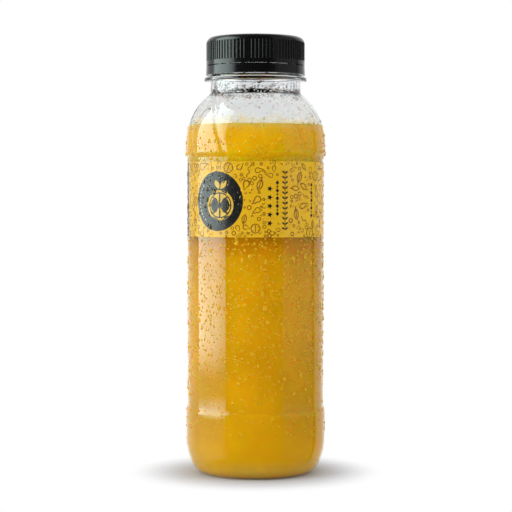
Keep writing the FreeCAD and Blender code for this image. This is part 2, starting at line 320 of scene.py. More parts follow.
# %% [markdown]
# ## The clear bottle
#
# One closed mesh holds the outside, the lip and the inside, as in the real moulding. Above the neck it
# has the support ring that carries the bottle on the filling line, the ring that locks the tamper band
# and the plain finish under the cap. The cap hides the thread, so it is left out.
#
# A wall that gets thicker upwards is a prism: it bends the light from behind downwards and draws a
# black ring. So the wall stays thin through the whole neck, and only narrows the bore behind the cap.

# %% Model the bottle's wall
RING_RADIUS, RING_LOW, RING_HIGH, RING_EDGE = 21.2, 161.95, 163.55, 0.45
FINISH_RADIUS, LIP_EDGE = 17.6, 0.5
LOCK_BEAD = [(FINISH_RADIUS, 165.9), (18.6, 165.9), (18.6, 166.7), (FINISH_RADIUS, 167.7)]
NECK_BORE, NECK_BORE_FILLET = 17.3, 3.4
BORE_STEP = [(NECK_BORE, 160.5), (NECK_BORE, 162.5), (17.2, 164.5), (17.1, 166.0), (16.7, 167.6)]


def bottle_outline():
    outside = body_outline(0) + [(NECK_RADIUS, z) for z in (159.5, 161.0, RING_LOW)]
    outside += arc((RING_RADIUS - RING_EDGE, RING_LOW + RING_EDGE), RING_EDGE, -90, 0, 0.15)
    outside += arc((RING_RADIUS - RING_EDGE, RING_HIGH - RING_EDGE), RING_EDGE, 0, 90, 0.15)
    outside += [(FINISH_RADIUS, RING_HIGH)] + LOCK_BEAD + [(FINISH_RADIUS, 172.0)]
    outside += arc((FINISH_RADIUS - LIP_EDGE, LIP - LIP_EDGE), LIP_EDGE, 0, 90, 0.2)
    inside = body_outline(WALL, NECK_BORE, NECK_BORE_FILLET) + BORE_STEP
    inside += [(BORE_RADIUS, z) for z in (169.0, 172.0, 175.5, LIP)]
    return outside + inside[::-1]


bottle = turn(bottle_outline(), "clear_bottle")
press_flutes(bottle)
smooth(bottle, 50)

# %% [markdown]
# ## The juice
#
# Cloudy juice is a solid body of colour behind the clear wall. It is the cavity filled up to the level,
# and it reaches 0.15 mm into the wall. Where a liquid meets a wall it climbs a little, so the surface
# turns up at its rim.

# %% Model the juice up to its level
REACH = 0.15                # how far the juice reaches into the wall
CLIMB, CLIMB_FADE = 0.3, 0.7


def shoulder_outline(inset, low, high):
    """The part of the cavity's outline that lies between two heights."""
    return [point for point in body_outline(inset, BORE_RADIUS, BORE_FILLET) if low < point[1] < high]


def juice_outline():
    inset = WALL - REACH

    def wall_radius(height):
        lift = height - SHOULDER_SPRING
        return BAND_RADIUS - SHOULDER_ARC + math.sqrt((SHOULDER_ARC - inset) ** 2 - lift ** 2)

    climb = [(wall_radius(LEVEL + up), LEVEL + up) for up in (0.0, CLIMB / 2, CLIMB)]
    surface = [(wall_radius(LEVEL) - away, LEVEL + CLIMB * math.exp(-away / CLIMB_FADE))
               for away in (0.45, 0.9, 1.5, 2.4, 4.0)]
    surface += [(radius, LEVEL) for radius in (18.0, 12.0, 6.0, 0.0)]
    return shoulder_outline(inset, 0, LEVEL) + climb + surface


juice = turn(juice_outline(), "juice_body")
press_flutes(juice)
smooth(juice, 60)

# %% [markdown]
# ## The film that juice leaves above its level
#
# A bottle that has been carried about has a thin veil of juice on its wall, just above the level. It is
# a band of the cavity's own shape, less than a tenth of a millimetre thick. Its uneven upper edge comes
# with its material.

# %% Model the veil of juice
VEIL_LOW, VEIL_HIGH = LEVEL - 0.9, LEVEL + 6.2
VEIL_OUTER = shoulder_outline(WALL + 0.02, VEIL_LOW, VEIL_HIGH)
VEIL_INNER = shoulder_outline(WALL + 0.10, VEIL_LOW, VEIL_HIGH)

veil = turn(VEIL_OUTER + VEIL_INNER[::-1], "juice_veil", closed=True)
press_flutes(veil)
smooth(veil, 50)

# %% [markdown]
# ## The label's film
#
# The label is a printed plastic film, glued round the straight wall with a lap at the back. It is a
# closed band with the thickness that the frame gives it, and a second short band makes the lap.

# %% Model the label's film
FILM = 0.12                 # thickness of the film
FILM_ROWS = 16
LABEL_RADIUS = PANEL_RADIUS + FILM

rows = [LABEL_LOW + (LABEL_HIGH - LABEL_LOW) * n / FILM_ROWS for n in range(FILM_ROWS + 1)]
label = turn([(LABEL_RADIUS, z) for z in rows] + [(PANEL_RADIUS, z) for z in rows[::-1]], "label_film", closed=True)
smooth(label)


# %% Model the lap at the back
HALF_ROUND = math.pi * LABEL_RADIUS
HALF_LAP = 3.5
STRIP = 0.8


def on_label(along, height, proud=0.0):
    """A place on the label: `along` millimetres to the right of the front, at a height, a little proud."""
    angle, radius = along / LABEL_RADIUS, LABEL_RADIUS + proud
    return Vector((radius * math.sin(angle), -radius * math.cos(angle), height)) * MM


def wrap(piece):
    """Wraps a flat piece round the label: its x goes along the film, y up and z outwards."""
    for vertex in piece.data.vertices:
        along, height, proud = vertex.co / MM
        vertex.co = on_label(along, height, proud)
    piece.data.update()


def cut_into_strips(left, right):
    """In edit mode: cuts a flat piece into upright strips that are narrow enough to wrap."""
    strips = max(1, round((right - left) / STRIP))
    for n in range(1, strips):
        bpy.ops.mesh.select_all(action="SELECT")
        at = left + (right - left) * n / strips
        bpy.ops.mesh.bisect(plane_co=(at * MM, 0, 0), plane_no=(1, 0, 0))


def add_sheet(name, left, right, low, high, thick):
    """Adds a thin flat sheet that can be wrapped."""
    nothing_selected()
    middle = Vector(((left + right) / 2, (low + high) / 2, thick / 2))
    bpy.ops.mesh.primitive_cube_add(size=1, location=middle * MM)
    sheet = name_newest(name)
    sheet.scale = ((right - left) * MM, (high - low) * MM, thick * MM)
    settle(sheet)
    enter_edit()
    cut_into_strips(left, right)
    leave_edit()
    return sheet


lap = add_sheet("label_lap", HALF_ROUND - HALF_LAP, HALF_ROUND + HALF_LAP, LABEL_LOW, LABEL_HIGH, FILM)
wrap(lap)
pick(label, lap)
bpy.ops.object.join()
print("the label's film has", count_triangles(label), "triangles")

# %% [markdown]
# ## The print: black
#
# Print is flush with the film, so each ink is a sheet only 0.02 mm proud of it. The black ink makes a
# wide field at the back, which runs over the lap too, a round patch at the left, a column of stars and
# three columns of ornament.

# %% Model the black print
INK = 0.02
DISC_SIDES = 96


def thicken(thick):
    """In edit mode: gives a flat shape its thickness, outwards."""
    bpy.ops.mesh.extrude_region_move(TRANSFORM_OT_translate={"value": (0, 0, thick * MM)})


def add_disc(name, along, height, radius, stretch):
    """Adds a flat disc, stretched upwards a little and cut into strips so that it wraps smoothly."""
    nothing_selected()
    bpy.ops.mesh.primitive_circle_add(vertices=DISC_SIDES, radius=radius * MM, fill_type="NGON",
                                      location=(along * MM, height * MM, 0))
    disc = name_newest(name)
    disc.scale.y = stretch
    settle(disc)
    enter_edit()
    thicken(INK)
    cut_into_strips(along - radius, along + radius)
    face_outwards()
    leave_edit()
    return disc


def add_polygon(name, corners, thick=INK):
    """Adds a small flat shape with these corners, from a circle whose vertices are moved to them."""
    nothing_selected()
    bpy.ops.mesh.primitive_circle_add(vertices=len(corners), radius=MM, fill_type="NGON")
    shape = name_newest(name)
    for vertex, corner in zip(shape.data.vertices, corners):
        vertex.co = Vector((corner[0], corner[1], 0)) * MM
    enter_edit()
    thicken(thick)
    face_outwards()
    leave_edit()
    return shape


def place_round(along, height, radius, angle):
    """A place on a circle, at an angle in radians."""
    return along + radius * math.cos(angle), height + radius * math.sin(angle)


def star_corners(along, height, radius, points=5, waist=0.45):
    return [place_round(along, height, radius if n % 2 == 0 else radius * waist, math.pi * n / points)
            for n in range(2 * points)]


def join_as(name, shapes):
    pick(*shapes)
    if len(shapes) > 1:
        bpy.ops.object.join()
    return name_newest(name)


def along_at(angle_deg):
    """Millimetres along the label for an angle from the front."""
    return math.radians(angle_deg) * LABEL_RADIUS


ROUNDEL_AT, ROUNDEL_HEIGHT, ROUNDEL_RADIUS, ROUNDEL_STRETCH = along_at(-33.0), 112.6, 11.2, 1.07
STAR_AT, STAR_HIGH, STAR_STEP, STAR_RADIUS = 5.75, 117.6, 3.45, 1.25
PRINT_LOW, PRINT_HIGH = LABEL_LOW + INK, LABEL_HIGH - INK
LAP_INK = HALF_LAP + INK

black = [add_sheet("back_field", along_at(-200), along_at(-76), PRINT_LOW, PRINT_HIGH, INK),
         add_sheet("lap_field", HALF_ROUND - LAP_INK, HALF_ROUND + LAP_INK, PRINT_LOW, PRINT_HIGH, FILM + INK),
         add_disc("roundel", ROUNDEL_AT, ROUNDEL_HEIGHT, ROUNDEL_RADIUS, ROUNDEL_STRETCH)]
for n in range(5):
    black.append(add_polygon(f"star_{n}", star_corners(STAR_AT, STAR_HIGH - STAR_STEP * n, STAR_RADIUS)))

# %% [markdown]
# ## The print: columns of ornament
#
# Beside the stars run columns of small ornament, as on the border of a tile: diamonds and dots that take
# turns, and pairs of leaves on a stem. Each column repeats one step all the way, so it reads as a plain
# border and never as writing.

# %% Model the columns of ornament
BEAD_STEP, DIAMOND_HALF_TALL, DOT_RADIUS = 1.55, 0.95, 0.42
LEAF_STEP, LEAF_WIDTH, STEM_HALF, STEM_END = 2.05, 0.72, 0.13, 0.6


def bead_column(along, high, low, width, name):
    """Diamonds and dots by turns."""
    shapes = []
    for n in range(int((high - low) / BEAD_STEP) + 1):
        at = high - BEAD_STEP * n
        diamond = [(along, at + DIAMOND_HALF_TALL), (along + width / 2, at), (along, at - DIAMOND_HALF_TALL),
                   (along - width / 2, at)]
        dot = star_corners(along, at, DOT_RADIUS, 5, 0.95)
        shapes.append(add_polygon(f"{name}_{n}", dot if n % 2 else diamond))
    return shapes


def leaf_corners(along, height, length, width, turn_deg, steps=7):
    """A pointed leaf that starts at a place and lies along a direction."""
    t = math.radians(turn_deg)
    sides = [(length * n / steps, width / 2 * math.sin(math.pi * n / steps)) for n in range(steps + 1)]
    outline = sides + [(x, -y) for x, y in sides[-2:0:-1]]
    return [(along + x * math.cos(t) - y * math.sin(t), height + x * math.sin(t) + y * math.cos(t))
            for x, y in outline]


def leaf_column(along, high, low, length, name):
    """A stem with a pair of leaves at each step."""
    steps = int((high - low) / LEAF_STEP)
    stem_low, stem_high = high - LEAF_STEP * steps - STEM_END, high + STEM_END
    left, right = along - STEM_HALF, along + STEM_HALF
    stem = [(left, stem_low), (right, stem_low), (right, stem_high), (left, stem_high)]
    shapes = [add_polygon(name + "_stem", stem)]
    for n in range(steps + 1):
        for side, turn_deg in ((1, 42), (-1, 138)):
            leaf = leaf_corners(along + 0.12 * side, high - LEAF_STEP * n - 0.5, length, LEAF_WIDTH, turn_deg, 5)
            shapes.append(add_polygon(f"{name}_{n}_{side}", leaf))
    return shapes


black += bead_column(8.9, 120.0, 106.6, 1.5, "bead_a")
black += leaf_column(12.2, 124.2, 100.8, 1.6, "leaf_b")
black += bead_column(26.3, 119.2, 106.0, 1.6, "bead_c")
black_print = join_as("label_black_print", black)
wrap(black_print)
print("black print has", count_triangles(black_print), "triangles")

# %% [markdown]
# ## The print: the round patch's own picture
#
# The black patch carries a cut fruit with two leaves, in the label's yellow, and an arc of pale dots.
# A cut fruit is a disc with a pale ring and wedge-shaped segments between thin walls.

# %% Model the fruit on the patch
FRUIT = (ROUNDEL_AT + 1.2, ROUNDEL_HEIGHT - 1.6)
RIND_INNER, RIND_OUTER = 5.2, 6.1
SEGMENT_INNER, SEGMENT_OUTER = 0.9, 4.7
PALE_RADIUS = 9.6


def round_row(radius, start_deg, end_deg, steps):
    """Places on an arc round the fruit's middle."""
    turns = [math.radians(start_deg + (end_deg - start_deg) * n / steps) for n in range(steps + 1)]
    return [place_round(*FRUIT, radius, a) for a in turns]


shapes = {}
for n in range(4):
    start = n * 90
    shapes[f"rind_{n}"] = (round_row(RIND_OUTER, start, start + 90, 9)
                           + round_row(RIND_INNER, start, start + 90, 9)[::-1])
for n in range(8):
    start, end = n * 45 + 4, n * 45 + 41
    tip = place_round(*FRUIT, SEGMENT_INNER, math.radians((start + end) / 2))
    shapes[f"segment_{n}"] = round_row(SEGMENT_OUTER, start, end, 6) + [tip]
shapes["leaf_left"] = leaf_corners(FRUIT[0] - 0.3, FRUIT[1] + 6.5, 4.2, 2.1, 118)
shapes["leaf_right"] = leaf_corners(FRUIT[0] + 0.3, FRUIT[1] + 6.5, 4.4, 2.2, 52)
yellow_print = join_as("label_yellow_print", [add_polygon(*shape, 2 * INK) for shape in shapes.items()])
wrap(yellow_print)

pale = []
for n in range(11):
    dot = place_round(ROUNDEL_AT, ROUNDEL_HEIGHT, PALE_RADIUS, math.radians(140 + n * 9))
    pale.append(add_polygon(f"pale_dot_{n}", star_corners(*dot, DOT_RADIUS, 4, 0.8), 2 * INK))
pale_print = join_as("label_pale_print", pale)
wrap(pale_print)
print("yellow and pale print have", count_triangles(yellow_print) + count_triangles(pale_print), "triangles")

# %% [markdown]
# ## The print: line drawings
#
# All over the yellow, thin brown lines draw small things to do with fruit and drinks. Each motif is
# drawn once, flat, as a line with a round bevel, then pressed nearly flat like ink. The copies are
# scattered with a fixed seed, each turned and sized a little differently, and none may touch another.

# %% Draw the motifs
STROKE = 0.19
PRESSED = 0.09              # what is left of a line's round section once it is pressed flat


def ink_line(points, name, closed=False):
    """A drawn line: a chain of edges turned into a curve with a round section, then into a mesh."""
    line = draw_line([(x, y, 0) for x, y in points] + ([(*points[0], 0)] if closed else []), name)
    if closed:
        enter_edit()
        merge_doubles()
        leave_edit()
    pick(line)
    bpy.ops.object.convert(target="CURVE")
    line = bpy.context.object
    line.data.bevel_depth = STROKE * MM
    line.data.bevel_resolution = 0
    line.data.use_fill_caps = True
    bpy.ops.object.convert(target="MESH")
    return bpy.context.object


def circle_points(radius, count, along=0.0, height=0.0):
    return [place_round(along, height, radius, 2 * math.pi * n / count) for n in range(count)]


def ray(inner, outer, angle):
    return [place_round(0, 0, inner, angle), place_round(0, 0, outer, angle)]


BLADE = leaf_corners(-1.9, 0, 3.8, 1.7, 0, 8)
DROP = [(0, 1.5)] + [place_round(0, -0.45, 0.85, math.radians(d - 90)) for d in range(120, -121, -30)]
TUMBLER = [(-1.0, 1.4), (-0.75, -1.5), (0.75, -1.5), (1.0, 1.4)]
WAVE = [(n * 0.4 - 2.4, 0.45 * math.sin(n * 0.95)) for n in range(13)]
PEAR = [(0.0, 1.5), (0.45, 1.1), (0.5, 0.4), (1.0, -0.3), (0.95, -1.1), (0.35, -1.55), (-0.35, -1.55),
        (-0.95, -1.1), (-1.0, -0.3), (-0.5, 0.4), (-0.45, 1.1)]

# Each motif: its name, the room that it needs, its closed lines and its open lines.
MOTIFS = [
    ("bubble", 1.0, [circle_points(0.75, 12)], []),
    ("slice", 2.1, [circle_points(1.75, 20)], [ray(1.35, -1.35, a) for a in (0.3, 1.35, 2.4)]),
    ("leaf", 2.1, [BLADE], [[(-2.6, -0.1), (-1.9, 0), (1.2, 0)]]),
    ("drop", 1.5, [DROP], []),
    ("tumbler", 2.5, [TUMBLER], [[(-0.9, 0.6), (0.9, 0.6)], [(-0.1, 0.4), (0.7, 2.6), (1.4, 2.8)]]),
    ("wave", 2.3, [], [WAVE]),
    ("berries", 1.9, [circle_points(0.62, 10, x, -0.9) for x in (-0.85, 0.75)],
     [[(-0.85, -0.28), (-0.3, 0.9), (0.1, 1.5)], [(0.75, -0.28), (0.5, 0.7), (0.1, 1.5)]]),
    ("pear", 1.9, [PEAR], [[(0, 1.5), (0.25, 2.1)]]),
    ("spark", 0.95, [], [ray(0.25, 0.75, math.radians(d)) for d in range(0, 360, 60)]),
    ("tick", 0.8, [], [[(-0.5, 0.35), (0.0, -0.35), (0.55, 0.4)]])]

motifs = []
for name, room, closed_lines, open_lines in MOTIFS:
    lines = [ink_line(points, "line", True) for points in closed_lines]
    lines += [ink_line(points, "line") for points in open_lines]
    motif = join_as("motif_" + name, lines)
    motif.scale.z = PRESSED
    settle(motif)
    motifs.append((motif, room))
print(len(motifs), "motifs drawn")


# %% Scatter the motifs over the label
# The columns of ornament: left, right, low and high.
COLUMNS = ((4.3, 7.2, 101.5, 120.0), (7.7, 10.0, 105.5, 121.3), (10.5, 13.9, 99.6, 125.9), (25.1, 27.5, 105.0, 120.5))
EDGE = 0.15
TOUCH = 0.86                # how near two motifs may come, as a share of their rooms
# Two rounds, large motifs first: tries, smallest and largest size, and how often each motif comes.
ROUNDS = ((1100, 0.85, 1.45, {1: 3, 2: 5, 3: 3, 4: 3, 5: 3, 6: 3, 7: 3}), (2600, 0.7, 1.1, {0: 5, 3: 3, 8: 4, 9: 4}))


def is_kept_clear(along, height, room):
    """True where other print is, or where the film ends."""
    if not LABEL_LOW + EDGE + room * 0.45 < height < LABEL_HIGH - EDGE - room * 0.45:
        return True
    if math.hypot(along - ROUNDEL_AT, (height - ROUNDEL_HEIGHT) / ROUNDEL_STRETCH) < ROUNDEL_RADIUS + room * 0.9:
        return True
    return any(left - room * 0.8 < along < right + room * 0.8 and low - room * 0.7 < height < high + room * 0.7
               for left, right, low, high in COLUMNS)


def scatter_motifs():
    chance, placed, copies = random.Random(29), [], []
    for tries, smallest, largest, weights in ROUNDS:
        for _ in range(tries):
            piece, room = motifs[chance.choices(list(weights), list(weights.values()))[0]]
            size = chance.uniform(smallest, largest)
            room *= size
            along = chance.uniform(along_at(-74.5), along_at(158))
            height = chance.uniform(LABEL_LOW, LABEL_HIGH)
            if is_kept_clear(along, height, room):
                continue
            if any(math.hypot(along - x, height - y) < (room + other) * TOUCH for x, y, other in placed):
                continue
            placed.append((along, height, room))
            copy = piece.copy()
            copy.data = piece.data.copy()
            copy.location = (along * MM, height * MM, 0)
            copy.rotation_euler = (0, 0, chance.uniform(0, 2 * math.pi))
            copy.scale = (size, size, 1)
            bpy.context.collection.objects.link(copy)
            copies.append(copy)
    return copies


copies = scatter_motifs()
for copy in copies:
    settle(copy)
brown_print = join_as("label_brown_print", copies)
for piece, room in motifs:
    bpy.data.objects.remove(piece)
wrap(brown_print)
smooth(brown_print, 60)
print(len(copies), "drawings,", count_triangles(brown_print), "triangles")

# %% [markdown]
# ## Condensation
#
# Cold plastic draws hundreds of drops out of the air. Small ones are flat domes. Large ones sag and grow
# a narrow tail above. One dome is cut from a sphere, and its copies are set on the wall by casting a ray
# at it, each turned to the wall's own direction. They are joined as numbers in one mesh, because several
# thousand separate objects would be slow. There are fewer drops high up and round the foot, where the
# bottle is less cold.

# %% Model the three kinds of drop
def model_dome(segments, rings, cut):
    """A dome on a flat foot, one unit across its half width and one high, from a sphere cut in two."""
    nothing_selected()
    bpy.ops.mesh.primitive_uv_sphere_add(segments=segments, ring_count=rings, radius=1)
    dome = name_newest("one_drop")
    bpy.ops.object.mode_set(mode="EDIT")
    bpy.ops.mesh.select_all(action="SELECT")
    bpy.ops.mesh.bisect(plane_co=(0, 0, cut), plane_no=(0, 0, 1), use_fill=True, clear_inner=True)
    bpy.ops.object.mode_set(mode="OBJECT")
    widest = max(math.hypot(v.co.x, v.co.y) for v in dome.data.vertices)
    points = [Vector((v.co.x / widest, v.co.y / widest, (v.co.z - cut) / (1 - cut))) for v in dome.data.vertices]
    faces = [tuple(f.vertices) for f in dome.data.polygons]
    bpy.data.objects.remove(dome)
    print("a drop has", len(points), "vertices and", len(faces), "faces")
    return points, faces


small_dome, middle_dome, large_dome = model_dome(8, 8, 0.5), model_dome(10, 10, 0.5), model_dome(16, 20, 0.45)


# %% Set the drops on the bottle
OUTSIDE = 0.05              # metres from the axis: clear of the bottle
FOOT_DEPTH = 0.03           # millimetres that a drop's foot lies in the wall


def wall_under(targets, angle_deg, height, from_inside=False):
    """Casts a ray at the wall. Gives the nearest place and the wall's direction there, or None."""
    a = math.radians(angle_deg)
    outwards = Vector((math.sin(a), -math.cos(a), 0))
    start = Vector((0, 0, height * MM)) if from_inside else outwards * OUTSIDE + Vector((0, 0, height * MM))
    found = []
    for target in targets:
        hit, place, normal, _ = target.ray_cast(start, outwards if from_inside else -outwards)
        if hit:
            found.append(((place - start).length, place, normal))
    return min(found, key=lambda reached: reached[0])[1:] if found else None


def set_drop(points, faces, dome, place, normal, half_width, high, sag, turn_deg):
    """Adds one drop's vertices: its flat foot lies just in the wall, and its longer axis up the wall."""
    up = Vector((0, 0, 1))
    up = (up - normal * up.dot(normal)).normalized()
    side = up.cross(normal)
    t = math.radians(turn_deg)
    up, side = up * math.cos(t) + side * math.sin(t), side * math.cos(t) - up * math.sin(t)
    first = len(points)
    for p in dome[0]:
        tail = 1.0 - 0.45 * sag * max(0.0, p.y)
        x = p.x * half_width * tail
        y = p.y * half_width * (1.0 + 0.9 * sag * (1 if p.y > 0 else 0.25))
        z = p.z * high * (1.0 - 0.4 * sag * p.y) - FOOT_DEPTH
        points.append(place + (side * x + up * y + normal * z) * MM)
    faces.extend(tuple(first + i for i in f) for f in dome[1])


def drops_piece(name, points, faces):
    mesh = bpy.data.meshes.new(name)
    mesh.from_pydata(points, [], faces)
    piece = bpy.data.objects.new(name, mesh)
    bpy.context.collection.objects.link(piece)
    smooth(piece, 50)
    print(name, "has", count_triangles(piece), "triangles")
    return piece


CELL = 0.0025               # metres: drops are looked up in cells of this size
SPACING = 1.08
UNDERSIDE = -0.55           # a wall that faces down more than this is the foot, and stays dry
taken = {}


def scatter_drops(name, dome, seed, tries, sizes, sag, heights, thin_above, thin_below):
    """Scatters drops of one kind over the outside. None touches a drop that is there already."""
    chance, points, faces = random.Random(seed), [], []
    smallest, largest = sizes
    for _ in range(tries):
        angle, height = chance.uniform(-180, 180), chance.uniform(*heights)
        half = smallest + (largest - smallest) * chance.random() ** 1.6
        if height > thin_above and chance.random() > 0.3 or height < thin_below and chance.random() > 0.35:
            continue
        found = wall_under([bottle, label], angle, height)
        if not found or found[1].z < UNDERSIDE:
            continue
        place, normal = found
        cell = tuple(round(c / CELL) for c in place)
        near = [drop for dx in (-1, 0, 1) for dy in (-1, 0, 1) for dz in (-1, 0, 1)
                for drop in taken.get((cell[0] + dx, cell[1] + dy, cell[2] + dz), ())]
        if any((place - other).length < (half + room) * SPACING * MM for other, room in near):
            continue
        taken.setdefault(cell, []).append((place, half))
        set_drop(points, faces, dome, place, normal, half, half * chance.uniform(0.46, 0.62),
                 sag * chance.uniform(0.2, 1.0), chance.uniform(-12, 12))
    return drops_piece(name, points, faces)


large_drops = scatter_drops("large_drops", large_dome, 8, 420, (0.62, 0.95), 0.9, (30, 140), 130, 62)
middle_drops = scatter_drops("middle_drops", middle_dome, 5, 4050, (0.37, 0.60), 0.6, (18, 146), 137, 40)
fine_drops = scatter_drops("fine_drops", small_dome, 6, 4600, (0.16, 0.34), 0.1, (12, 157), 143, 24)

# %% [markdown]
# ## Drops inside the neck
#
# Above the juice, splashes hang on the inside of the neck and shoulder. They are set from the inside,
# with their domes towards the axis, and they are denser in the narrow neck.

# %% Set the drops inside the neck
def splash_inside(seed):
    chance, points, faces = random.Random(seed), [], []
    for _ in range(560):
        angle = chance.uniform(-180, 180)
        # Three of four drops hang in the neck. The others are spread down over the shoulder.
        height = chance.choice((chance.uniform(155.0, 161.5), chance.uniform(157.0, 161.5),
                                chance.uniform(156.0, 160.5), 157.5 - 9.5 * chance.random() ** 2.2))
        found = wall_under([bottle], angle, height, from_inside=True)
        if not found:
            continue
        place, normal = found
        half = chance.uniform(0.2, 0.45) if chance.random() < 0.75 else chance.uniform(0.45, 0.8)
        set_drop(points, faces, middle_dome, place, normal, half, half * 0.55, chance.uniform(0, 0.5),
                 chance.uniform(-70, 70))
    return drops_piece("neck_drops", points, faces)


neck_drops = splash_inside(3)

# %% [markdown]
# ## Materials: clear plastic and water
#
# Clear plastic is a surface that bends light by its index, 1.57, and hardly blurs it. A blown wall is
# never quite even, so a faint wide bump bends the reflections a little. Lamps can't shine through a
# bending surface without much noise, so for shadow rays the material is plain transparent.
#
# A drop on a bottle of juice glints gold, because it gathers light from the juice behind it. A path
# tracer finds few of those rays through so small a lens. So over the juice a part of each drop is a golden
# diffuse surface, which lamps can reach: a painted glint. The air space and the label have none of it. The
# drops on juice also bend light a little more than water does, so that they stand out as much as real ones.

# %% Helpers for materials
def new_material(name):
    material = bpy.data.materials.new(name)
    material.use_nodes = True
    material.node_tree.nodes.clear()
    return material


def add_node(material, kind, settings=None, **attributes):
    """Adds a node, sets its attributes, and sets or links its inputs by name."""
    node = material.node_tree.nodes.new(kind)
    for key, value in attributes.items():
        setattr(node, key, value)
    for key, value in (settings or {}).items():
        if isinstance(value, bpy.types.NodeSocket):
            material.node_tree.links.new(value, node.inputs[key])
        else:
            node.inputs[key].default_value = value
    return node


def finish_material(material, shader):
    out = add_node(material, "ShaderNodeOutputMaterial")
    material.node_tree.links.new(shader, out.inputs["Surface"])
    return material


def coordinates(material):
    return add_node(material, "ShaderNodeTexCoord").outputs["Object"]


def noise(material, scale, detail=2.0, roughness=0.5, stretch=(1, 1, 1)):
    placed = add_node(material, "ShaderNodeMapping", {"Vector": coordinates(material), "Scale": stretch})
    return add_node(material, "ShaderNodeTexNoise", {"Vector": placed.outputs[0], "Scale": scale, "Detail": detail,
                                                     "Roughness": roughness}).outputs["Fac"]


def ramp(material, factor, stops):
    """A colour ramp from (place, (r, g, b)) stops."""
    node = add_node(material, "ShaderNodeValToRGB", {"Fac": factor})
    elements = node.color_ramp.elements
    for element, (place, colour) in zip(elements, stops):
        element.position, element.color = place, (*colour, 1)
    for place, colour in stops[2:]:
        elements.new(place).color = (*colour, 1)
    return node.outputs["Color"]


def mapped(material, value, low, high, to_low=0.0, to_high=1.0, smooth_ends=True):
    settings = {"Value": value, "From Min": low, "From Max": high, "To Min": to_low, "To Max": to_high}
    return add_node(material, "ShaderNodeMapRange", settings,
                    interpolation_type="SMOOTHSTEP" if smooth_ends else "LINEAR").outputs["Result"]


def combined(material, operation, first, second, clamp=False):
    """Two values through a maths node."""
    return add_node(material, "ShaderNodeMath", {0: first, 1: second}, operation=operation,
                    use_clamp=clamp).outputs[0]


def mixed(material, factor, first, second):
    """Two shaders mixed: all first at factor 0, all second at factor 1."""
    return add_node(material, "ShaderNodeMixShader", {0: factor, 1: first, 2: second}).outputs[0]


def height_of(material):
    return add_node(material, "ShaderNodeSeparateXYZ", {"Vector": coordinates(material)}).outputs["Z"]


def light_path(material):
    return add_node(material, "ShaderNodeLightPath").outputs


# %% Clear plastic and water
# The painted glint on the drops: where it fades out, its gold, and the gold tint of the drops' real reflections.
EDGE_FADE = 0.2             # millimetres over which the golden part fades at the label's edges
LEVEL_FADE = 3.0            # and below the level
PAINTED_GLINT_GOLD = (1.0, 0.64, 0.03)
SHEEN = (1.0, 0.80, 0.26)


def painted_glint_share(material, share):
    """The share of painted glint: below and above the label, up to the level, and nothing elsewhere."""
    height = height_of(material)
    below = mapped(material, height, (LABEL_LOW - EDGE_FADE) * MM, LABEL_LOW * MM, share, 0.0, False)
    above = mapped(material, height, LABEL_HIGH * MM, (LABEL_HIGH + EDGE_FADE) * MM, 0.0, share, False)
    filled = mapped(material, height, (LEVEL - LEVEL_FADE) * MM, LEVEL * MM, 1.0, 0.0, False)
    return combined(material, "MULTIPLY", combined(material, "MAXIMUM", below, above), filled)


def clear_material(name, index, tint, waviness=0.0, painted_glint=0.0, level=0.5, sheen=(1, 1, 1)):
    material = new_material(name)
    settings = {"Base Color": (*tint, 1), "Roughness": 0.015, "IOR": index, "Transmission Weight": 1.0,
                "Specular Tint": (*sheen, 1), "Specular IOR Level": level}
    if waviness:
        waves = noise(material, 90.0, 1.0, 0.4, (1, 1, 0.35))
        settings["Normal"] = add_node(material, "ShaderNodeBump", {"Height": waves, "Strength": 1.0,
                                                                   "Distance": waviness * MM}).outputs[0]
    shown = add_node(material, "ShaderNodeBsdfPrincipled", settings).outputs[0]
    # Over the juice a share of each drop is a golden diffuse surface: a painted glint.
    if painted_glint:
        painted_glint_shader = add_node(material, "ShaderNodeBsdfDiffuse", {"Color": (*PAINTED_GLINT_GOLD, 1)}).outputs[0]
        shown = mixed(material, painted_glint_share(material, painted_glint), shown, painted_glint_shader)
    straight = add_node(material, "ShaderNodeBsdfTransparent", {"Color": (0.96, 0.96, 0.96, 1)}).outputs[0]
    return finish_material(material, mixed(material, light_path(material)["Is Shadow Ray"], shown, straight))


plastic = clear_material("clear_plastic", 1.57, (0.895, 0.915, 0.930), waviness=0.05)
fine_water = clear_material("fine_water", 1.50, (1.0, 0.98, 0.85), painted_glint=0.7, level=0.25, sheen=SHEEN)
# The tints of water and neck_water darken the drops, as painted shade.
water = clear_material("water", 1.55, (0.92, 0.88, 0.62), painted_glint=0.5, level=0.35, sheen=SHEEN)
neck_water = clear_material("neck_water", 1.33, (0.88, 0.84, 0.81))
print("clear materials made")

# %% [markdown]
# ## Materials: juice
#
# Cloudy juice lets light in and scatters it about, which subsurface scattering does. Red light goes
# furthest, so the side away from the window is the redder one. The juice has no gloss of its own here,
# because the plastic in front of it has. Near the label's lower edge its colour is painted darker, as painted
# shade, because the film keeps light out of it there. It is painted lighter at the foot and up the shoulder
# to the level, as painted light. Fine pulp makes it a little uneven.
#
# The veil is lit from behind by the white room. So it lets most light through and only tints it: an
# opaque film would look grey. It thins out upwards, and noise makes its upper edge uneven.

# %% Juice and its veil
# Colours from the foot, 0, to the level, 1, with painted light: lighter at the foot, painted shade near
# the label's lower edge, and lighter up the shoulder.
JUICE_COLOUR_AND_PAINTED_LIGHT = [
    (0.0, (0.88, 0.53, 0.006)), (0.12, (0.80, 0.49, 0.005)), (0.2, (0.79, 0.485, 0.005)),
    (0.35, (0.82, 0.49, 0.005)), (0.56, (0.83, 0.50, 0.004)), (0.62, (0.80, 0.46, 0.003)),
    (0.672, (0.70, 0.30, 0.001)), (0.69, (0.74, 0.33, 0.001)), (0.86, (0.93, 0.54, 0.002)),
    (0.925, (0.96, 0.58, 0.004)), (0.965, (0.97, 0.58, 0.006)), (0.984, (0.98, 0.58, 0.03)), (1.0, (1.0, 0.60, 0.14))]
RIPPLE = 1.1                # millimetres that the bands of colour wander up and down


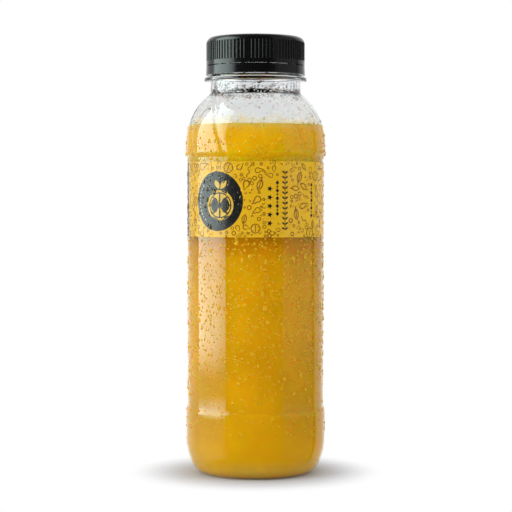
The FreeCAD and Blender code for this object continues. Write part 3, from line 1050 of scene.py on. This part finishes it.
def juice_material():
    material = new_material("cloudy_juice")
    ripple = mapped(material, noise(material, 110.0, 3.0, 0.6, (1, 1, 1.4)), 0.3, 0.7, -RIPPLE * MM, RIPPLE * MM, False)
    height = combined(material, "ADD", height_of(material), ripple)
    # The ramp paints shade near the label's lower edge and paints light at the foot and up the shoulder.
    colour = ramp(material, mapped(material, height, 0.0, LEVEL * MM, smooth_ends=False), JUICE_COLOUR_AND_PAINTED_LIGHT)
    cloud = mapped(material, noise(material, 55.0, 3.0, 0.55), 0.3, 0.7, 0.93, 1.05)
    # Inputs 6 and 7 of a colour mix are its two colours.
    uneven = add_node(material, "ShaderNodeMix", {0: 1.0, 6: colour, 7: cloud}, data_type="RGBA",
                      blend_type="MULTIPLY").outputs[2]
    shader = add_node(material, "ShaderNodeBsdfPrincipled", {
        "Base Color": uneven, "Roughness": 0.6, "Specular IOR Level": 0.0,
        "Subsurface Weight": 1.0, "Subsurface Radius": (1.0, 0.2, 0.05), "Subsurface Scale": 0.018})
    return finish_material(material, shader.outputs[0])


def veil_material():
    material = new_material("juice_veil")
    fade = mapped(material, height_of(material), (LEVEL + 0.2) * MM, (LEVEL + 5.0) * MM, 0.95, -0.15, False)
    uneven = mapped(material, noise(material, 220.0, 4.0, 0.6, (1, 1, 1.6)), 0.3, 0.7, -0.45, 0.45)
    cover = combined(material, "MULTIPLY", combined(material, "ADD", fade, uneven, clamp=True), 0.72)
    colour = ramp(material, cover, [(0.0, (1.0, 0.95, 0.80)), (0.7, (1.0, 0.86, 0.50))])
    shader = add_node(material, "ShaderNodeBsdfPrincipled", {
        "Base Color": colour, "Roughness": 0.25, "Alpha": cover, "IOR": 1.05, "Transmission Weight": 0.75})
    return finish_material(material, shader.outputs[0])


cloudy_juice, thin_veil = juice_material(), veil_material()
print("juice and veil made")

# %% [markdown]
# ## Materials: the label's film and its inks
#
# The film is printed plastic with a soft gloss. All inks share one finish, so that they read as print
# on one film: the same roughness and the same fine unevenness, and only the colour differs.

# %% Film and inks
def coat(name, colour, shade, rough=(0.17, 0.28), tone=(140.0, 3.0), gloss=(420.0, 2.0), relief=(130.0, 0.6, 0.05)):
    """A solid coat, a little uneven in its colour, its gloss and its surface. Tone and gloss give a scale and
    how fine the noise is. Relief gives a scale, a strength and a depth in millimetres."""
    material = new_material(name)
    colours = ramp(material, mapped(material, noise(material, *tone), 0.3, 0.7), [(0.0, colour), (1.0, shade)])
    height = noise(material, relief[0], 2.0)
    bump = add_node(material, "ShaderNodeBump", {"Height": height, "Strength": relief[1], "Distance": relief[2] * MM})
    shader = add_node(material, "ShaderNodeBsdfPrincipled", {
        "Base Color": colours, "Roughness": mapped(material, noise(material, *gloss), 0.3, 0.7, *rough),
        "IOR": 1.5, "Normal": bump.outputs[0]})
    return finish_material(material, shader.outputs[0])


film_yellow = coat("film_yellow", (0.95, 0.56, 0.007), (0.92, 0.52, 0.006))
ink_black = coat("ink_black", (0.014, 0.014, 0.014), (0.020, 0.019, 0.018), (0.19, 0.30))
ink_yellow = coat("ink_yellow", (0.86, 0.55, 0.05), (0.80, 0.50, 0.04))
ink_pale = coat("ink_pale", (0.62, 0.60, 0.55), (0.50, 0.48, 0.44))
ink_brown = coat("ink_brown", (0.24, 0.085, 0.004), (0.30, 0.115, 0.006))
print("film and four inks made")

# %% [markdown]
# ## Materials: the cap
#
# The cap is moulded from black polyethylene. It is nearly black with a broad satin sheen, and its grain
# is finer than a rib, so a very small noise bump breaks the sheen up.

# %% Cap plastic
black_cap = coat("black_cap_plastic", (0.0030, 0.0032, 0.0030), (0.0048, 0.0050, 0.0046), (0.17, 0.25),
                 tone=(260.0, 4.0), gloss=(700.0, 3.0), relief=(2200.0, 0.1, 0.01))
print("cap plastic made")

# %% Give every piece its material
def dress(piece, material):
    piece.data.materials.clear()
    piece.data.materials.append(material)


# Each piece, its material and the slot of the frame that it belongs to.
LOOKS = [(bottle, plastic, "bottle"), (juice, cloudy_juice, "juice"), (veil, thin_veil, "juice"),
         (label, film_yellow, "label"), (black_print, ink_black, "label"), (yellow_print, ink_yellow, "label"),
         (pale_print, ink_pale, "label"), (brown_print, ink_brown, "label"), (fine_drops, fine_water, "bottle"),
         (middle_drops, water, "bottle"), (large_drops, water, "bottle"), (neck_drops, neck_water, "bottle")]
for piece, material, _ in LOOKS:
    dress(piece, material)
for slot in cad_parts["cap"].material_slots:
    slot.material = black_cap
print("dressed", len(LOOKS) + 1, "pieces")

# %% [markdown]
# ## Tie the pieces to the frame
#
# The bottle doesn't move in itself, so every piece rides on the one body. The clear bottle, the juice
# and the label's film each stand for a solid of the frame.

# %% Ride and replace
for piece, _, slot in LOOKS:
    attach(piece, "root")
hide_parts("bottle")
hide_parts("juice")
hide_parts("label")
print("three pieces replace the frame's own")

# %% [markdown]
# ## The table
#
# The bottle stands on a white table before a white wall. Only the table near the bottle is a real
# surface, because it has to take the bottle's shadow. Further out it fades into plain white, for the
# camera and for rays that come through clear plastic.
#
# Light that has bounced off the juice would turn the shadow yellow, so the table is a little blue under
# the bottle, and a mirrored ray that isn't from a soft surface goes through it.

# %% Model the table
TABLE_TONE = (0.75, 0.79, 0.87)
FADE_FROM, FADE_TO = 0.024, 0.054       # metres from the axis


def mirrored_only(material, path):
    """1 for a ray that has bounced off gloss more often than off a soft surface."""
    return combined(material, "SUBTRACT", path["Glossy Depth"], path["Diffuse Depth"], clamp=True)


def add_floor():
    nothing_selected()
    bpy.ops.mesh.primitive_circle_add(vertices=96, radius=6, fill_type="NGON")
    floor = name_newest("table")
    material = new_material("white_table")
    away = add_node(material, "ShaderNodeVectorMath", {0: coordinates(material)}, operation="LENGTH").outputs["Value"]
    path = light_path(material)
    plain = add_node(material, "ShaderNodeBsdfDiffuse", {"Color": (*TABLE_TONE, 1)}).outputs[0]
    white = add_node(material, "ShaderNodeEmission", {"Color": (1, 1, 1, 1), "Strength": 1.0}).outputs[0]
    gone = add_node(material, "ShaderNodeBsdfTransparent", {"Color": (1, 1, 1, 1)}).outputs[0]
    seen = combined(material, "MULTIPLY", path["Is Camera Ray"], mapped(material, away, FADE_FROM, FADE_TO))
    through = combined(material, "MULTIPLY", path["Is Transmission Ray"], mapped(material, away, 0.026, 0.040))
    glowing = mixed(material, combined(material, "MAXIMUM", seen, through), plain, white)
    past = combined(material, "MULTIPLY", mirrored_only(material, path), mapped(material, away, 0.025, 0.042))
    dress(floor, finish_material(material, mixed(material, past, glowing, gone)))
    return floor


# %% [markdown]
# ## What the plastic reflects
#
# Gloss shows the room round it. In a studio that is a tall bright window of cloth at the left, a weak
# one at the right and a dark room in front, so that the middle of the bottle shows its true colour with
# no glare. Each is a curved card that only reflections see, so that none of them lights the bottle.

# %% Model the cards
CARD_RADIUS, CARD_LOW, CARD_HIGH = 1500, -900, 2300
CARD_STEP_DEG = 6


def add_card(name, from_deg, to_deg, near_strength, far_strength, low_strength=None, colour=(1, 1, 1)):
    """A curved card. Its glow can change from one end to the other, and be weaker below the table."""
    a = math.radians(from_deg)
    foot = (CARD_RADIUS * math.sin(a), -CARD_RADIUS * math.cos(a))
    card = draw_line([(*foot, CARD_LOW), (*foot, CARD_HIGH)], name)
    enter_edit()
    bpy.ops.mesh.spin(steps=max(2, round(abs(to_deg - from_deg) / CARD_STEP_DEG)),
                      angle=math.radians(to_deg - from_deg), center=(0, 0, 0), axis=(0, 0, -1))
    leave_edit()
    material = new_material(name + "_glow")
    place = add_node(material, "ShaderNodeSeparateXYZ", {"Vector": coordinates(material)}).outputs
    backwards = combined(material, "MULTIPLY", place["Y"], -1.0)
    turned = combined(material, "ARCTAN2", place["X"], backwards)
    glow = mapped(material, turned, math.radians(from_deg), math.radians(to_deg), near_strength, far_strength, False)
    if low_strength is not None:
        glow = combined(material, "MULTIPLY", glow, mapped(material, place["Z"], -0.12, -0.055, low_strength, 1.0))
    shine = add_node(material, "ShaderNodeEmission", {"Color": (*colour, 1), "Strength": glow})
    dress(card, finish_material(material, shine.outputs[0]))
    card.visible_camera = card.visible_diffuse = card.visible_transmission = card.visible_shadow = False
    return card


WINDOW = (0.82, 0.97, 0.94)     # daylight through the window's cloth
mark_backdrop(add_floor(),
         add_card("glow_far_left", -150, -112, 0.8, 0.5),
         add_card("glow_left", -112, -70, 5.2, 4.9, 0.12, WINDOW),
         add_card("glow_left_edge", -70, -51, 4.9, 2.4, 0.12, WINDOW),
         add_card("dark_front", -51, 47, 0.02, 0.02),
         add_card("glow_right", 47, 110, 0.30, 0.35, 0.4),
         add_card("dark_right", 110, 118, 0.02, 0.02),
         add_card("glow_far_right", 118, 150, 0.5, 0.8),
         add_card("white_back", 150, 180, 1.0, 1.0),
         add_card("white_back_left", -180, -150, 1.0, 1.0))
print("table and cards set up")

# %% [markdown]
# ## Lamps and the white room
#
# Two soft lamps light the bottle: a stronger one at the left, where the window is, and a weaker one at
# the right. The cards stand for them in reflections, so the lamps themselves stay out of those.
#
# The world is the white wall. The camera and clear plastic see it at full white, and it lights soft
# surfaces at half of that. It is weaker in gloss, and weakest for a ray that goes on to the front after
# a reflection, because there the real room is dark.

# %% Lamps
LAMP_AWAY, LAMP_WIDE, LAMP_HIGH = 1.3, 0.9, 1.1


def add_soft_light(name, angle_deg, brightness):
    """A soft light that faces the bottle. Its brightness is what a mirror would show of it."""
    a = math.radians(angle_deg)
    bpy.ops.object.light_add(type="AREA",
                             location=(LAMP_AWAY * math.sin(a), -LAMP_AWAY * math.cos(a), LAMP_HIGH / 2))
    lamp = bpy.context.object
    lamp.name = name
    lamp.data.shape = "RECTANGLE"
    lamp.data.size, lamp.data.size_y = LAMP_WIDE, LAMP_HIGH
    lamp.data.energy = brightness * math.pi * LAMP_WIDE * LAMP_HIGH
    lamp.rotation_euler = (math.radians(90), 0, a)
    lamp.visible_camera = lamp.visible_glossy = False
    print(name, "gives", round(lamp.data.energy, 2), "W")


nothing_selected()
add_soft_light("key_left", -62, 2.85)
add_soft_light("fill_right", 70, 1.65)

# %% World
ROOM = 0.5                  # how strongly the room lights soft surfaces
GLOSS_LESS = 0.35           # how much weaker it is in gloss
FRONT_KEPT = 0.06           # what is left of it at the front, after a reflection


def add_world():
    world = bpy.data.worlds.new("white_room")
    bpy.context.scene.world = world
    world.use_nodes = True
    world.node_tree.nodes.clear()
    path = light_path(world)
    seen = combined(world, "ADD", path["Is Camera Ray"], path["Is Transmission Ray"], clamp=True)
    glossy = combined(world, "MULTIPLY", path["Is Glossy Ray"], -GLOSS_LESS)
    room = combined(world, "ADD", ROOM, glossy)
    towards = add_node(world, "ShaderNodeTexCoord").outputs["Generated"]
    back = add_node(world, "ShaderNodeSeparateXYZ", {"Vector": towards}).outputs["Y"]
    front = mapped(world, back, -0.25, 0.1, 1.0, 0.0)
    hidden = combined(world, "MULTIPLY", front, mirrored_only(world, path))
    kept = mapped(world, hidden, 0.0, 1.0, 1.0, FRONT_KEPT, False)
    strength = combined(world, "MULTIPLY", combined(world, "MAXIMUM", seen, room), kept)
    light = add_node(world, "ShaderNodeBackground", {"Color": (1, 1, 1, 1), "Strength": strength})
    out = add_node(world, "ShaderNodeOutputWorld")
    world.node_tree.links.new(light.outputs[0], out.inputs["Surface"])


add_world()

# %% [markdown]
# ## The camera
#
# A long lens a little above the middle of the bottle, tilted down by less than two degrees, so that the
# whole bottle is in and its sides still stand upright. There is no shift, so a view from any other side
# is framed in the same way.

# %% Camera and picture settings
CAMERA_PLACE = (0.0002, -0.7166, 0.1128)
CAMERA_TILT_DEG = 88.165        # 90 would be level
bpy.ops.object.camera_add(location=CAMERA_PLACE, rotation=(math.radians(CAMERA_TILT_DEG), 0, 0))
camera = bpy.context.object
camera.data.sensor_width = 36
camera.data.lens = 121.3
bpy.context.scene.camera = camera
bpy.context.scene.view_settings.view_transform = "Standard"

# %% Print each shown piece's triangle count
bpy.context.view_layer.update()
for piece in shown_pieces():
    print(piece.name, count_triangles(piece) if piece.type == "MESH" else "")
